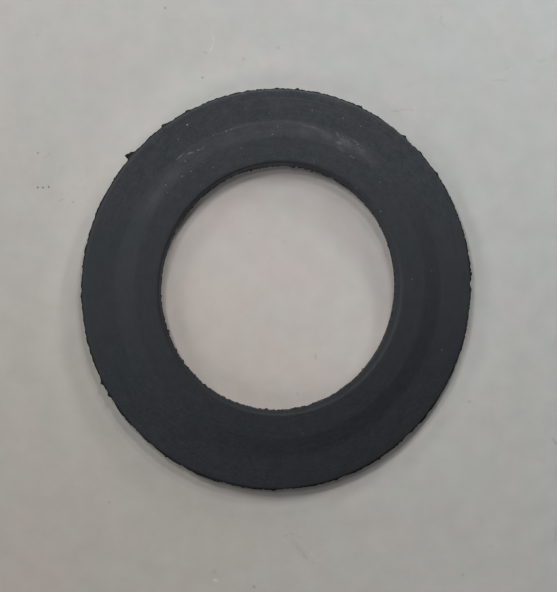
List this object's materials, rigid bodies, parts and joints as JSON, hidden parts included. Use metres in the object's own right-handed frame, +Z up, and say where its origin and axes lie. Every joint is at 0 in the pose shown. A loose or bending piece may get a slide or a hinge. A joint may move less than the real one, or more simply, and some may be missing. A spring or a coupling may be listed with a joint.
{
  "type": "flush valve seal",
  "caption": "Moulded black rubber seal ring for a toilet flush valve, lying flat, with a raised land around its bore and torn mould flash on its edges.",
  "frame": {"origin": "centre of the bounding box's bottom face: the middle of the flat underside, under the ring's centre", "axes": "+Z up through the bore, towards the raised land; +Y towards the picture's upper edge; +X to its right"},
  "size_m": [0.0631, 0.0631, 0.003],
  "materials": {
    "rubber": "matt moulded"
  },
  "bodies": {
    "root": {"seal_ring": "rubber"}
  },
  "joints": []
}
